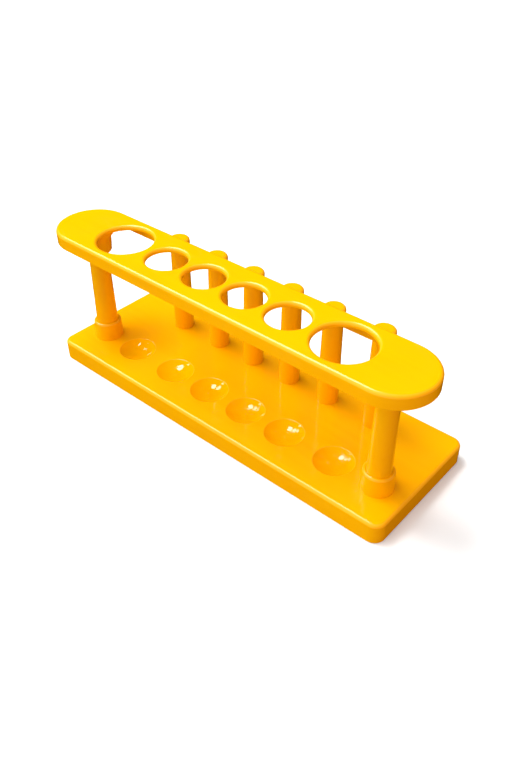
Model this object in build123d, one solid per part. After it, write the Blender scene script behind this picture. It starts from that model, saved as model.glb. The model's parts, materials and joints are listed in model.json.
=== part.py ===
from build123d import *
import os

# Six-hole test-tube rack with six drying pegs, moulded in one plastic and pushed together.
# A hollow base carries two posts, the posts carry a hollow top plate with the tube holes,
# and each tube stands in a shallow dish in the base under its hole.
# Millimetres. The origin is the centre of the base's underside. +X runs along the rack,
# -Y is the tube side, +Y is the peg side and +Z is up.

# Base: a tray turned upside down, open below
BASE_LENGTH = 230.0
BASE_WIDTH = 79.0
BASE_HEIGHT = 12.0
BASE_CORNER_RADIUS = 6.0
BASE_TOP_ROUND = 2.0
BASE_WALL = 2.5
EDGE_BREAK = 0.4

# Tube row: four small holes in the middle and one large hole at each end
TUBE_ROW_Y = -16.5
TUBE_PITCH = 27.0
END_TUBE_GAP = 32.0
SMALL_HOLE_RADIUS = 11.2
LARGE_HOLE_RADIUS = 15.4

# Dishes under the holes, cut as shallow caps of a sphere
DISH_RADIUS = 10.8
DISH_DEPTH = 4.0
DISH_SKIN = 2.0
DISH_RIM_ROUND = 0.6

# Top plate: a stadium-shaped shell, open below
PLATE_LENGTH = 239.0
PLATE_WIDTH = 42.0
PLATE_DEPTH = 8.0
PLATE_TOP_Z = 85.0
PLATE_WEB = 2.8
PLATE_WALL = 2.5
PLATE_TOP_ROUND = 2.0
HOLE_TOP_ROUND = 1.8
HOLE_BOTTOM_ROUND = 0.2

# Posts with moulding draft, and the tapered collar that grips each end of a post
POST_X = 98.2
POST_FOOT_RADIUS = 6.3
POST_HEAD_RADIUS = 5.55
POST_CORE_RADIUS = 3.3
POST_CAP = 4.0
POST_CHAMFER = 0.6
COLLAR_HEIGHT = 11.0
COLLAR_SEAT_RADIUS = 8.7
COLLAR_END_RADIUS = 8.0
COLLAR_END_ROUND = 1.3
COLLAR_SPIGOT_RADIUS = 7.6
COLLAR_SPIGOT_LENGTH = 2.0

# Drying pegs, measured from the deck up
PEG_ROW_Y = 21.0
END_PEG_GAP = 30.0
PEG_HEIGHT = 60.0
PEG_FOOT_RADIUS = 6.0
PEG_NECK_RADIUS = 5.3
PEG_NECK_HEIGHT = 54.5
PEG_HEAD_RADIUS = 6.2
PEG_HEAD_FROM = 56.6
PEG_HEAD_TOP_ROUND = 2.1
PEG_HEAD_UNDER_ROUND = 1.8
PEG_NECK_ROUND = 1.5
PEG_TENON_RADIUS = 4.0
PEG_TENON_LENGTH = 9.0
PEG_CORE_RADIUS = 2.2
PEG_CORE_HEIGHT = 50.0

# Sockets and ribs on the hidden sides
SLIDE_CLEARANCE = 0.05
SEAT_CLEARANCE = 0.03
SOCKET_WALL = 2.4
SOCKET_FLOOR = 2.0
SOCKET_BOTTOM_Z = 1.0
RIB_THICKNESS = 1.6
RIB_BOTTOM_Z = 3.0
RIB_Y = 2.0

DECK_UNDERSIDE_Z = BASE_HEIGHT - BASE_WALL
WEB_UNDERSIDE_Z = PLATE_TOP_Z - PLATE_WEB
PLATE_BOTTOM_Z = PLATE_TOP_Z - PLATE_DEPTH
SOCKET_FLOOR_Z = SOCKET_BOTTOM_Z + SOCKET_FLOOR
HEAD_COLLAR_Z = WEB_UNDERSIDE_Z - COLLAR_SPIGOT_LENGTH
UPRIGHT = (Align.CENTER, Align.CENTER, Align.MIN)


def mirrored(distances):
    """Positions at each distance on both sides of zero, from left to right."""
    return sorted([-distance for distance in distances] + list(distances))


def row_positions(end_gap):
    """Six positions: four at the tube pitch, then one further out at each end."""
    inner = TUBE_PITCH / 2
    outer = inner + TUBE_PITCH
    return mirrored([inner, outer, outer + end_gap])


TUBE_X = row_positions(END_TUBE_GAP)
PEG_X = row_positions(END_PEG_GAP)
HOLE_RADII = [LARGE_HOLE_RADIUS] + [SMALL_HOLE_RADIUS] * 4 + [LARGE_HOLE_RADIUS]


def column(x, y, radius, bottom, top):
    """An upright cylinder between two heights."""
    return Pos(x, y, bottom) * Cylinder(radius, top - bottom, align=UPRIGHT)


def circle_edges(solid, radius, height):
    """The solid's circular edges of one radius at one height."""
    return [
        edge
        for edge in solid.edges().filter_by(GeomType.CIRCLE)
        if abs(edge.radius - radius) < 0.01 and abs(edge.arc_center.Z - height) < 0.01
    ]


def base_shell():
    """The base's walls and deck, without dishes or sockets."""
    block = extrude(RectangleRounded(BASE_LENGTH, BASE_WIDTH, BASE_CORNER_RADIUS), BASE_HEIGHT)
    block = fillet(block.edges().group_by(Axis.Z)[-1], BASE_TOP_ROUND)
    block = chamfer(block.edges().group_by(Axis.Z)[0], EDGE_BREAK)
    inner_outline = RectangleRounded(
        BASE_LENGTH - 2 * BASE_WALL,
        BASE_WIDTH - 2 * BASE_WALL,
        BASE_CORNER_RADIUS - BASE_WALL,
    )
    return block - extrude(inner_outline, DECK_UNDERSIDE_Z)


def base_ribs():
    """One long rib between the rows, and cross ribs halfway between posts and dishes."""
    height = DECK_UNDERSIDE_Z - RIB_BOTTOM_Z
    inner_length = BASE_LENGTH - 2 * BASE_WALL
    inner_width = BASE_WIDTH - 2 * BASE_WALL
    ribs = [Pos(0, RIB_Y, RIB_BOTTOM_Z) * Box(inner_length, RIB_THICKNESS, height, align=UPRIGHT)]
    stations = [-POST_X] + TUBE_X + [POST_X]
    for left, right in zip(stations, stations[1:]):
        cross_rib = Box(RIB_THICKNESS, inner_width, height, align=UPRIGHT)
        ribs.append(Pos((left + right) / 2, 0, RIB_BOTTOM_Z) * cross_rib)
    return ribs


def dish_sphere(x, offset):
    """The sphere whose cap is one dish, grown outward by an offset."""
    radius = (DISH_RADIUS**2 + DISH_DEPTH**2) / (2 * DISH_DEPTH)
    centre_z = BASE_HEIGHT - DISH_DEPTH + radius
    return Pos(x, TUBE_ROW_Y, centre_z) * Sphere(radius + offset)


def base_plate():
    """The base with its ribs, dishes, two post sockets and six peg sockets."""
    base = base_shell()
    base += base_ribs()
    for x in TUBE_X:
        below_deck = column(x, TUBE_ROW_Y, 2 * DISH_RADIUS, 0, BASE_HEIGHT - BASE_TOP_ROUND)
        base += dish_sphere(x, DISH_SKIN) & below_deck
    for x in (-POST_X, POST_X):
        base += column(x, TUBE_ROW_Y, COLLAR_SPIGOT_RADIUS + SOCKET_WALL, SOCKET_BOTTOM_Z, BASE_HEIGHT)
    for x in PEG_X:
        base += column(x, PEG_ROW_Y, PEG_TENON_RADIUS + SOCKET_WALL, SOCKET_BOTTOM_Z, BASE_HEIGHT)
    for x in TUBE_X:
        base -= dish_sphere(x, 0)
    for x in (-POST_X, POST_X):
        spigot_floor_z = BASE_HEIGHT - COLLAR_SPIGOT_LENGTH
        base -= column(x, TUBE_ROW_Y, POST_FOOT_RADIUS + SLIDE_CLEARANCE, SOCKET_FLOOR_Z, BASE_HEIGHT)
        base -= column(x, TUBE_ROW_Y, COLLAR_SPIGOT_RADIUS + SEAT_CLEARANCE, spigot_floor_z, BASE_HEIGHT)
    for x in PEG_X:
        base -= column(x, PEG_ROW_Y, PEG_TENON_RADIUS + SLIDE_CLEARANCE, SOCKET_FLOOR_Z, BASE_HEIGHT)
    return fillet(circle_edges(base, DISH_RADIUS, BASE_HEIGHT), DISH_RIM_ROUND)


def top_plate():
    """The top plate with its six tube holes and a ring under each end for a collar."""
    place = Pos(0, TUBE_ROW_Y, PLATE_BOTTOM_Z)
    plate = place * extrude(SlotOverall(PLATE_LENGTH, PLATE_WIDTH), PLATE_DEPTH)
    plate = fillet(plate.edges().group_by(Axis.Z)[-1], PLATE_TOP_ROUND)
    plate = chamfer(plate.edges().group_by(Axis.Z)[0], EDGE_BREAK)
    inner_outline = SlotOverall(PLATE_LENGTH - 2 * PLATE_WALL, PLATE_WIDTH - 2 * PLATE_WALL)
    plate -= place * extrude(inner_outline, PLATE_DEPTH - PLATE_WEB)
    for x in (-POST_X, POST_X):
        rib = Box(RIB_THICKNESS, PLATE_WIDTH - 2 * PLATE_WALL, COLLAR_SPIGOT_LENGTH, align=UPRIGHT)
        plate += Pos(x, TUBE_ROW_Y, HEAD_COLLAR_Z) * rib
        plate += column(x, TUBE_ROW_Y, COLLAR_SPIGOT_RADIUS + SOCKET_WALL, HEAD_COLLAR_Z, WEB_UNDERSIDE_Z)
        plate -= column(x, TUBE_ROW_Y, COLLAR_SPIGOT_RADIUS + SEAT_CLEARANCE, HEAD_COLLAR_Z, WEB_UNDERSIDE_Z)
    for x, radius in zip(TUBE_X, HOLE_RADII):
        plate -= column(x, TUBE_ROW_Y, radius, PLATE_BOTTOM_Z, PLATE_TOP_Z)
        plate = fillet(circle_edges(plate, radius, PLATE_TOP_Z), HOLE_TOP_ROUND)
        plate = fillet(circle_edges(plate, radius, WEB_UNDERSIDE_Z), HOLE_BOTTOM_ROUND)
    return plate


def post():
    """One post, straight where a collar grips it and tapered between, cored from its foot."""
    foot_grip_top_z = BASE_HEIGHT + COLLAR_HEIGHT
    head_grip_bottom_z = HEAD_COLLAR_Z - COLLAR_HEIGHT
    outline = Polyline(
        (0, SOCKET_FLOOR_Z),
        (POST_FOOT_RADIUS, SOCKET_FLOOR_Z),
        (POST_FOOT_RADIUS, foot_grip_top_z),
        (POST_HEAD_RADIUS, head_grip_bottom_z),
        (POST_HEAD_RADIUS, WEB_UNDERSIDE_Z),
        (0, WEB_UNDERSIDE_Z),
        close=True,
    )
    shaft = revolve(Plane.XZ * make_face(outline), Axis.Z)
    shaft = chamfer(circle_edges(shaft, POST_FOOT_RADIUS, SOCKET_FLOOR_Z), POST_CHAMFER)
    shaft = chamfer(circle_edges(shaft, POST_HEAD_RADIUS, WEB_UNDERSIDE_Z), POST_CHAMFER)
    return shaft - column(0, 0, POST_CORE_RADIUS, SOCKET_FLOOR_Z, WEB_UNDERSIDE_Z - POST_CAP)


def collar(post_radius):
    """One collar with its seat on z = 0, its taper above, its spigot below and a post's bore."""
    sleeve = Cone(COLLAR_SEAT_RADIUS, COLLAR_END_RADIUS, COLLAR_HEIGHT, align=UPRIGHT)
    sleeve = fillet(sleeve.edges().group_by(Axis.Z)[-1], COLLAR_END_ROUND)
    sleeve += column(0, 0, COLLAR_SPIGOT_RADIUS, -COLLAR_SPIGOT_LENGTH, 0)
    return sleeve - column(0, 0, post_radius + SLIDE_CLEARANCE, -COLLAR_SPIGOT_LENGTH, COLLAR_HEIGHT)


def peg():
    """One drying peg with its shoulder on z = 0 and its tenon below."""
    outline = Polyline(
        (0, -PEG_TENON_LENGTH),
        (PEG_TENON_RADIUS, -PEG_TENON_LENGTH),
        (PEG_TENON_RADIUS, 0),
        (PEG_FOOT_RADIUS, 0),
        (PEG_NECK_RADIUS, PEG_NECK_HEIGHT),
        (PEG_HEAD_RADIUS, PEG_HEAD_FROM),
        (PEG_HEAD_RADIUS, PEG_HEIGHT),
        (0, PEG_HEIGHT),
        close=True,
    )
    rounds = (
        ((PEG_HEAD_RADIUS, PEG_HEIGHT), PEG_HEAD_TOP_ROUND),
        ((PEG_HEAD_RADIUS, PEG_HEAD_FROM), PEG_HEAD_UNDER_ROUND),
        ((PEG_NECK_RADIUS, PEG_NECK_HEIGHT), PEG_NECK_ROUND),
    )
    half = make_face(outline)
    for corner, radius in rounds:
        half = fillet(half.vertices().sort_by_distance(corner)[0], radius)
    body = revolve(Plane.XZ * half, Axis.Z)
    body = chamfer(circle_edges(body, PEG_TENON_RADIUS, -PEG_TENON_LENGTH), EDGE_BREAK)
    return body - column(0, 0, PEG_CORE_RADIUS, -PEG_TENON_LENGTH, PEG_CORE_HEIGHT)


def build_parts():
    """Every piece of the rack in its resting place, by node name."""
    parts = {"base_plate": base_plate(), "top_plate": top_plate()}
    for side, x in (("left", -POST_X), ("right", POST_X)):
        foot_collar = collar(POST_FOOT_RADIUS)
        head_collar = Rot(180, 0, 0) * collar(POST_HEAD_RADIUS)
        parts[f"post_{side}"] = Pos(x, TUBE_ROW_Y, 0) * post()
        parts[f"foot_collar_{side}"] = Pos(x, TUBE_ROW_Y, BASE_HEIGHT) * foot_collar
        parts[f"head_collar_{side}"] = Pos(x, TUBE_ROW_Y, HEAD_COLLAR_Z) * head_collar
    for number, x in enumerate(PEG_X, start=1):
        parts[f"peg_{number}"] = Pos(x, PEG_ROW_Y, BASE_HEIGHT) * peg()
    return parts


os.makedirs("parts", exist_ok=True)
for name, part in build_parts().items():
    export_step(part, f"parts/{name}.step")
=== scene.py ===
import json
import math

import bpy
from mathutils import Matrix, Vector


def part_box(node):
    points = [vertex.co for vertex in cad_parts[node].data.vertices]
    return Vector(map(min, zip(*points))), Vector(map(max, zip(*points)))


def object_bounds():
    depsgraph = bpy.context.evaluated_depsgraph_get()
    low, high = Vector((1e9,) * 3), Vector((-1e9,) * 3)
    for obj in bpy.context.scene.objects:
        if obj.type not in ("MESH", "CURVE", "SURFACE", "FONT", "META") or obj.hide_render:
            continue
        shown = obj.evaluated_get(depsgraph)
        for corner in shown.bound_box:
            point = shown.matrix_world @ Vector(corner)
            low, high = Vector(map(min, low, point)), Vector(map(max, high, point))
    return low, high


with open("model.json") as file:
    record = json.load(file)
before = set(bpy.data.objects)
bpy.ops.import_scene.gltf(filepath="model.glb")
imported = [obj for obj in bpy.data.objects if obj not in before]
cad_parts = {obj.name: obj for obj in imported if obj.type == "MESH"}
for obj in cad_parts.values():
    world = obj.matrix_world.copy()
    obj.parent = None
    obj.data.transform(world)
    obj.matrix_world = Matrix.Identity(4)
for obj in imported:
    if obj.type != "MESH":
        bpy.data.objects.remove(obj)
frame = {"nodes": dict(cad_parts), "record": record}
cad_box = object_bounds()

# Lengths are in metres, but the camera's lens is in millimetres. Angles are in degrees and powers
# in watts. A noise scale is the number of features to the metre.
# Azimuth 0 looks along +Y, and azimuth 90 looks along -X.

# Camera: the photograph's viewing angle
CAMERA_AZIMUTH = 41.06
CAMERA_ELEVATION = 38.27
CAMERA_DISTANCE = 0.4095
CAMERA_LENS = 36.1
CAMERA_CLIP_START = 0.01
AIM_OFFSET = Vector((0.0112, -0.0073, -0.0163))

# Soft sky: broad light from the rack's tube side on the left, and from above
SKY_LIGHTS = (Vector((-0.7, -0.7, 0.0)) * 2.7, Vector((0.0, 0.0, 1.0)) * 1.0)

# Softboxes. The two keys show as bright spots in the dishes, through the tube holes.
# The fills light the sides that the sky leaves dark, and don't show in the gloss.
WHITE = (1.0, 1.0, 1.0)
WARM = (1.0, 0.40, 0.06)
SOFTBOX_DISTANCE = 0.9
SOFTBOXES = (
    {"name": "key", "azimuth": -77, "elevation": 68.5, "size": (0.4, 0.36), "power": 6.5},
    {"name": "low_key", "azimuth": -77, "elevation": 47.6, "size": (0.4, 0.31), "power": 3.6,
     "lights": False},
    {"name": "fill", "azimuth": 30, "elevation": 65, "size": (0.45, 0.45), "power": 0.7,
     "reflects": False},
    {"name": "warm_fill", "azimuth": 80, "elevation": 15, "size": (0.6, 0.3), "power": 2.2,
     "colour": WARM, "reflects": False, "on_floor": False},
)

# White floor: it looks brighter than the light it throws back on the rack
FLOOR_HALF_WIDTH = 3.0
FLOOR_SEEN = 0.97
FLOOR_BOUNCE = 0.35
FLOOR_ROUGHNESS = 0.8

# Yellow plastic, in linear colour: a deeper tone lies in faint clouds and flow marks
YELLOW = (0.935, 0.435, 0.0)
YELLOW_DEEP = (0.91, 0.395, 0.0)
PLASTIC_IOR = 1.52
CLOUD_SCALE = 22
CLOUD_SPAN = (0.3, 0.7)
CLOUD_STRENGTH = (0.0, 1.4)
FLOW_SCALE = 260
FLOW_STRETCH = 18
FLOW_TURN = 4

# Gloss: uneven from handling, rubbed softer on the rounded upper edges, smoothest in the dishes
ROUGHNESS = (0.09, 0.14)
HANDLING_SCALE = 70
HANDLING_SPAN = (0.35, 0.75)
EDGE_ROUGHNESS = 0.28
EDGE_OFF_UPRIGHT = (0.08, 0.2)
EDGE_OFF_LEVEL = (0.99, 0.93)
DISH_ROUGHNESS = 0.03
DISH_RADIUS = 0.0106

# Hairline scratches in two directions, in patches
SCRATCH_TURNS = (24, -38)
SCRATCH_SCALE = 1500
SCRATCH_STRETCH = 40
SCRATCH_SPAN = (0.70, 0.74)
PATCH_SCALE = 45
PATCH_SPAN = (0.52, 0.60)
SCRATCH_ROUGHNESS = 0.24
SCRATCH_DEPTH = 0.000004

# Relief: soft waviness of the moulding, and its fine skin
WAVE_SCALE = 160
WAVE_DEPTH = 0.00004
SKIN_SCALE = 700
SKIN_DEPTH = 0.000006


def direction(azimuth, elevation):
    """Unit vector from the object towards a viewer or light at these angles."""
    turn = math.radians(azimuth)
    rise = math.radians(elevation)
    return Vector((math.sin(turn) * math.cos(rise), -math.cos(turn) * math.cos(rise), math.sin(rise)))


def look_from(obj, target, distance, azimuth, elevation):
    """Places a camera or light at a distance from its target and points it there."""
    obj.location = target + direction(azimuth, elevation) * distance
    obj.rotation_euler = (target - obj.location).to_track_quat("-Z", "Y").to_euler()


def add_camera(centre):
    """The camera at the photograph's viewing angle."""
    data = bpy.data.cameras.new("camera")
    data.lens = CAMERA_LENS
    data.clip_start = CAMERA_CLIP_START
    camera = bpy.data.objects.new("camera", data)
    bpy.context.scene.collection.objects.link(camera)
    look_from(camera, centre + AIM_OFFSET, CAMERA_DISTANCE, CAMERA_AZIMUTH, CAMERA_ELEVATION)
    bpy.context.scene.camera = camera


def rack_alone(name):
    """A collection of the rack's nodes without the floor, for a light that falls on the rack only."""
    collection = bpy.data.collections.new(name + "_receivers")
    for node in frame["nodes"].values():
        collection.objects.link(node)
    return collection


def add_softbox(centre, name, azimuth, elevation, size, power,
                colour=WHITE, lights=True, reflects=True, on_floor=True):
    """A softbox that faces the rack; size is its width and height.

    It lights the rack's own colour, shows in the rack's gloss, or does both.
    """
    data = bpy.data.lights.new(name, "AREA")
    data.shape = "RECTANGLE"
    data.size, data.size_y = size
    data.energy = power
    data.color = colour
    light = bpy.data.objects.new(name, data)
    bpy.context.scene.collection.objects.link(light)
    light.visible_diffuse = lights
    light.visible_glossy = reflects
    look_from(light, centre, SOFTBOX_DISTANCE, azimuth, elevation)
    if not on_floor:
        light.light_linking.receiver_collection = rack_alone(name)


def new_node(tree, kind, values, **settings):
    """A new shader node with the given input values and settings."""
    node = tree.nodes.new(kind)
    for setting, value in settings.items():
        setattr(node, setting, value)
    for name, value in values.items():
        node.inputs[name].default_value = value
    return node


def combine(tree, operation, first, second):
    """Two values joined by one arithmetic operation."""
    node = new_node(tree, "ShaderNodeMath", {}, operation=operation)
    tree.links.new(first, node.inputs[0])
    tree.links.new(second, node.inputs[1])
    return node.outputs[0]


def rescale(tree, value, span, target=(0.0, 1.0)):
    """The value carried from its span to a target range, and held at the range's ends."""
    low, high = span
    to_low, to_high = target
    ends = {"From Min": low, "From Max": high, "To Min": to_low, "To Max": to_high}
    node = new_node(tree, "ShaderNodeMapRange", ends)
    tree.links.new(value, node.inputs["Value"])
    return node.outputs["Result"]


def grey(level):
    """An opaque grey of one level."""
    return (level, level, level, 1)


def add_world():
    """Soft sky that lights the rack, plain white to the camera and dark in reflections."""
    world = bpy.data.worlds.new("studio")
    bpy.context.scene.world = world
    world.use_nodes = True
    tree = world.node_tree
    tree.nodes.clear()
    ray = new_node(tree, "ShaderNodeTexCoord", {}).outputs["Generated"]
    total = new_node(tree, "ShaderNodeValue", {}).outputs[0]
    for light in SKY_LIGHTS:
        facing = new_node(tree, "ShaderNodeVectorMath", {1: light}, operation="DOT_PRODUCT")
        lit = new_node(tree, "ShaderNodeMath", {1: 0.0}, operation="MAXIMUM")
        tree.links.new(ray, facing.inputs[0])
        tree.links.new(facing.outputs["Value"], lit.inputs[0])
        total = combine(tree, "ADD", total, lit.outputs[0])
    sky = new_node(tree, "ShaderNodeBackground", {})
    backdrop = new_node(tree, "ShaderNodeBackground", {"Color": grey(1)})
    path = new_node(tree, "ShaderNodeLightPath", {})
    mix = new_node(tree, "ShaderNodeMixShader", {})
    out = new_node(tree, "ShaderNodeOutputWorld", {})
    tree.links.new(total, sky.inputs["Strength"])
    tree.links.new(path.outputs["Is Camera Ray"], mix.inputs["Fac"])
    tree.links.new(sky.outputs[0], mix.inputs[1])
    tree.links.new(backdrop.outputs[0], mix.inputs[2])
    tree.links.new(mix.outputs[0], out.inputs["Surface"])
    world.cycles_visibility.glossy = False


def add_floor(height):
    """A plain white floor under the rack, left out of reflections."""
    mesh = bpy.data.meshes.new("floor")
    corners = [(-1, -1), (1, -1), (1, 1), (-1, 1)]
    points = [(x * FLOOR_HALF_WIDTH, y * FLOOR_HALF_WIDTH, height) for x, y in corners]
    mesh.from_pydata(points, [], [(0, 1, 2, 3)])
    floor = bpy.data.objects.new("floor", mesh)
    bpy.context.scene.collection.objects.link(floor)
    material = bpy.data.materials.new("floor")
    material.use_nodes = True
    tree = material.node_tree
    shader = tree.nodes["Principled BSDF"]
    shader.inputs["Roughness"].default_value = FLOOR_ROUGHNESS
    shader.inputs["Specular IOR Level"].default_value = 0.0
    path = new_node(tree, "ShaderNodeLightPath", {})
    mix = new_node(tree, "ShaderNodeMix", {"A": grey(FLOOR_BOUNCE), "B": grey(FLOOR_SEEN)}, data_type="RGBA")
    tree.links.new(path.outputs["Is Camera Ray"], mix.inputs["Factor"])
    tree.links.new(mix.outputs["Result"], shader.inputs["Base Color"])
    mesh.materials.append(material)
    floor.visible_glossy = False


def noise(tree, position, scale, stretch=1, turn=0, detail=2.0):
    """Noise with scale features to the metre; stretch lengthens them, and turn tilts them about Z."""
    turned = new_node(tree, "ShaderNodeMapping", {"Rotation": (0, 0, math.radians(turn))})
    stretched = new_node(tree, "ShaderNodeMapping", {"Scale": (1 / stretch, 1, 1)})
    texture = new_node(tree, "ShaderNodeTexNoise", {"Scale": scale, "Detail": detail})
    tree.links.new(position, turned.inputs["Vector"])
    tree.links.new(turned.outputs["Vector"], stretched.inputs["Vector"])
    tree.links.new(stretched.outputs["Vector"], texture.inputs["Vector"])
    return texture.outputs["Fac"]


def bump(tree, height, depth, under=None):
    """Surface relief of the given depth, on top of an earlier relief."""
    node = new_node(tree, "ShaderNodeBump", {"Distance": depth})
    tree.links.new(height, node.inputs["Height"])
    if under is not None:
        tree.links.new(under, node.inputs["Normal"])
    return node.outputs["Normal"]


def hairlines(tree, position, turn):
    """Sparse handling scratches in one direction: 1 on a scratch and 0 off it."""
    fine = noise(tree, position, SCRATCH_SCALE, stretch=SCRATCH_STRETCH, turn=turn, detail=0)
    patches = noise(tree, position, PATCH_SCALE)
    return combine(tree, "MULTIPLY", rescale(tree, fine, SCRATCH_SPAN), rescale(tree, patches, PATCH_SPAN))


def inside_dishes(tree, position):
    """1 in the dishes that lie under the tube holes, and 0 elsewhere."""
    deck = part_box("base_plate")[1][2]
    inside = new_node(tree, "ShaderNodeValue", {}).outputs[0]
    for mount in frame["record"]["mounts"]:
        if mount["name"].startswith("tube_hole"):
            x, y, _ = mount["pos_m"]
            distance = new_node(tree, "ShaderNodeVectorMath", {1: (x, y, deck)}, operation="DISTANCE")
            near = new_node(tree, "ShaderNodeMath", {1: DISH_RADIUS}, operation="LESS_THAN")
            tree.links.new(position, distance.inputs[0])
            tree.links.new(distance.outputs["Value"], near.inputs[0])
            inside = combine(tree, "MAXIMUM", inside, near.outputs[0])
    return inside


def rounded_edges(tree):
    """1 where the surface slopes and faces up, as on rounded upper edges, and 0 elsewhere."""
    normal = new_node(tree, "ShaderNodeNewGeometry", {}).outputs["Normal"]
    parts = new_node(tree, "ShaderNodeSeparateXYZ", {})
    tree.links.new(normal, parts.inputs["Vector"])
    off_upright = rescale(tree, parts.outputs["Z"], EDGE_OFF_UPRIGHT)
    off_level = rescale(tree, parts.outputs["Z"], EDGE_OFF_LEVEL)
    return combine(tree, "MULTIPLY", off_upright, off_level)


def plastic_colour(tree, position):
    """Yellow with a deeper tone in faint clouds and flow marks."""
    clouds = rescale(tree, noise(tree, position, CLOUD_SCALE), CLOUD_SPAN, CLOUD_STRENGTH)
    flow_marks = noise(tree, position, FLOW_SCALE, stretch=FLOW_STRETCH, turn=FLOW_TURN)
    tones = {"A": (*YELLOW, 1), "B": (*YELLOW_DEEP, 1)}
    colour = new_node(tree, "ShaderNodeMix", tones, data_type="RGBA")
    tree.links.new(combine(tree, "MULTIPLY", clouds, flow_marks), colour.inputs["Factor"])
    return colour.outputs["Result"]


def plastic_roughness(tree, position, scratches):
    """Uneven gloss, softer on the rounded edges and the scratches, and smoothest in the dishes."""
    handled = rescale(tree, noise(tree, position, HANDLING_SCALE, detail=4), HANDLING_SPAN, ROUGHNESS)
    rubbed = rescale(tree, rounded_edges(tree), (0, 1), (0, EDGE_ROUGHNESS))
    smooth = new_node(tree, "ShaderNodeMix", {"B": DISH_ROUGHNESS})
    tree.links.new(inside_dishes(tree, position), smooth.inputs["Factor"])
    tree.links.new(combine(tree, "MAXIMUM", handled, rubbed), smooth.inputs["A"])
    scuffed = rescale(tree, scratches, (0, 1), (0, SCRATCH_ROUGHNESS))
    return combine(tree, "MAXIMUM", smooth.outputs["Result"], scuffed)


def plastic_relief(tree, position, scratches):
    """Soft waviness, then the fine skin, then the scratches cut into it."""
    waves = bump(tree, noise(tree, position, WAVE_SCALE, detail=0), WAVE_DEPTH)
    skin = bump(tree, noise(tree, position, SKIN_SCALE), SKIN_DEPTH, under=waves)
    return bump(tree, scratches, -SCRATCH_DEPTH, under=skin)


def moulded_plastic(name):
    """Glossy moulded plastic, the one material of the rack."""
    material = bpy.data.materials.new(name)
    material.use_nodes = True
    tree = material.node_tree
    shader = tree.nodes["Principled BSDF"]
    shader.inputs["IOR"].default_value = PLASTIC_IOR
    position = new_node(tree, "ShaderNodeTexCoord", {}).outputs["Object"]
    one_way, other_way = [hairlines(tree, position, turn) for turn in SCRATCH_TURNS]
    scratches = combine(tree, "MAXIMUM", one_way, other_way)
    tree.links.new(plastic_colour(tree, position), shader.inputs["Base Color"])
    tree.links.new(plastic_roughness(tree, position, scratches), shader.inputs["Roughness"])
    tree.links.new(plastic_relief(tree, position, scratches), shader.inputs["Normal"])
    return material


plastic = moulded_plastic("yellow_plastic")
for node in frame["nodes"].values():
    node.data.materials.clear()
    node.data.materials.append(plastic)

low, high = (Vector(corner) for corner in cad_box)
centre = (low + high) / 2
add_camera(centre)
add_world()
add_floor(low.z)
for softbox in SOFTBOXES:
    add_softbox(centre, **softbox)
bpy.context.scene.view_settings.view_transform = "Standard"
